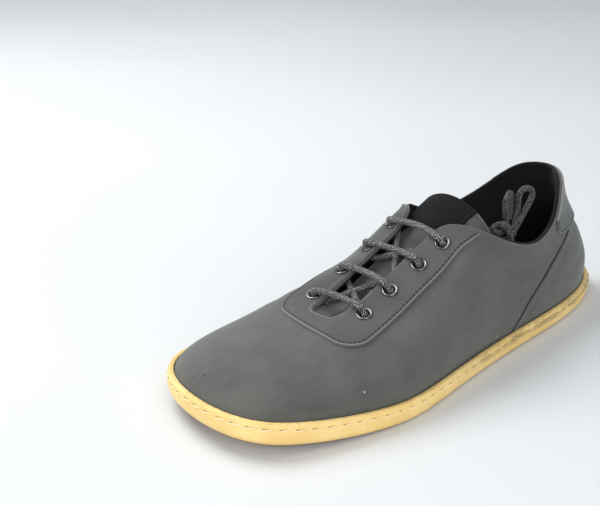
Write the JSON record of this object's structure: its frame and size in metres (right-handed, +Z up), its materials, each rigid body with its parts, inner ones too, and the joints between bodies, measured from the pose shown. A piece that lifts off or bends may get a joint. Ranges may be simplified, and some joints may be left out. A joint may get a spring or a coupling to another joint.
{
  "type": "barefoot shoe",
  "caption": "Low lace-up barefoot shoe for the left foot: grey nubuck upper with lace facing and heel tab on a thin, flat gum rubber cup sole.",
  "frame": {"origin": "middle of the shoe's bounding box on the floor under the sole", "axes": "+Z up, +Y towards the heel, -Y towards the toe, +X towards the outer side of the left foot"},
  "size_m": [0.1125, 0.2853, 0.0798],
  "materials": {
    "gum_rubber": "matt gum rubber with a stitched groove",
    "grey_nubuck": "matt brushed nubuck",
    "facing_nubuck": "matt brushed nubuck with stitched edge",
    "heel_tab_nubuck": "matt brushed nubuck",
    "tongue_leather": "matt leather",
    "label_cloth": "black woven cloth",
    "insole_cloth": "black cloth cover",
    "gunmetal": "dark gunmetal",
    "lace_cotton": "round waxed braid"
  },
  "bodies": {
    "root": {"eyelet_inner_1": "gunmetal", "eyelet_inner_2": "gunmetal", "eyelet_inner_3": "gunmetal", "eyelet_inner_4": "gunmetal", "eyelet_outer_1": "gunmetal", "eyelet_outer_2": "gunmetal", "eyelet_outer_3": "gunmetal", "eyelet_outer_4": "gunmetal", "heel_tab": "heel_tab_nubuck", "insole": "insole_cloth", "lace_bar_1": "lace_cotton", "lace_bar_2": "lace_cotton", "lace_bar_3": "lace_cotton", "lace_bar_4": "lace_cotton", "lace_crossings": "lace_cotton", "lace_facing": "facing_nubuck", "lace_knot": "lace_cotton", "lace_loop_inner": "lace_cotton", "lace_loop_outer": "lace_cotton", "outsole": "gum_rubber", "tongue": "tongue_leather", "tongue_label": "label_cloth", "upper": "grey_nubuck"}
  },
  "joints": []
}
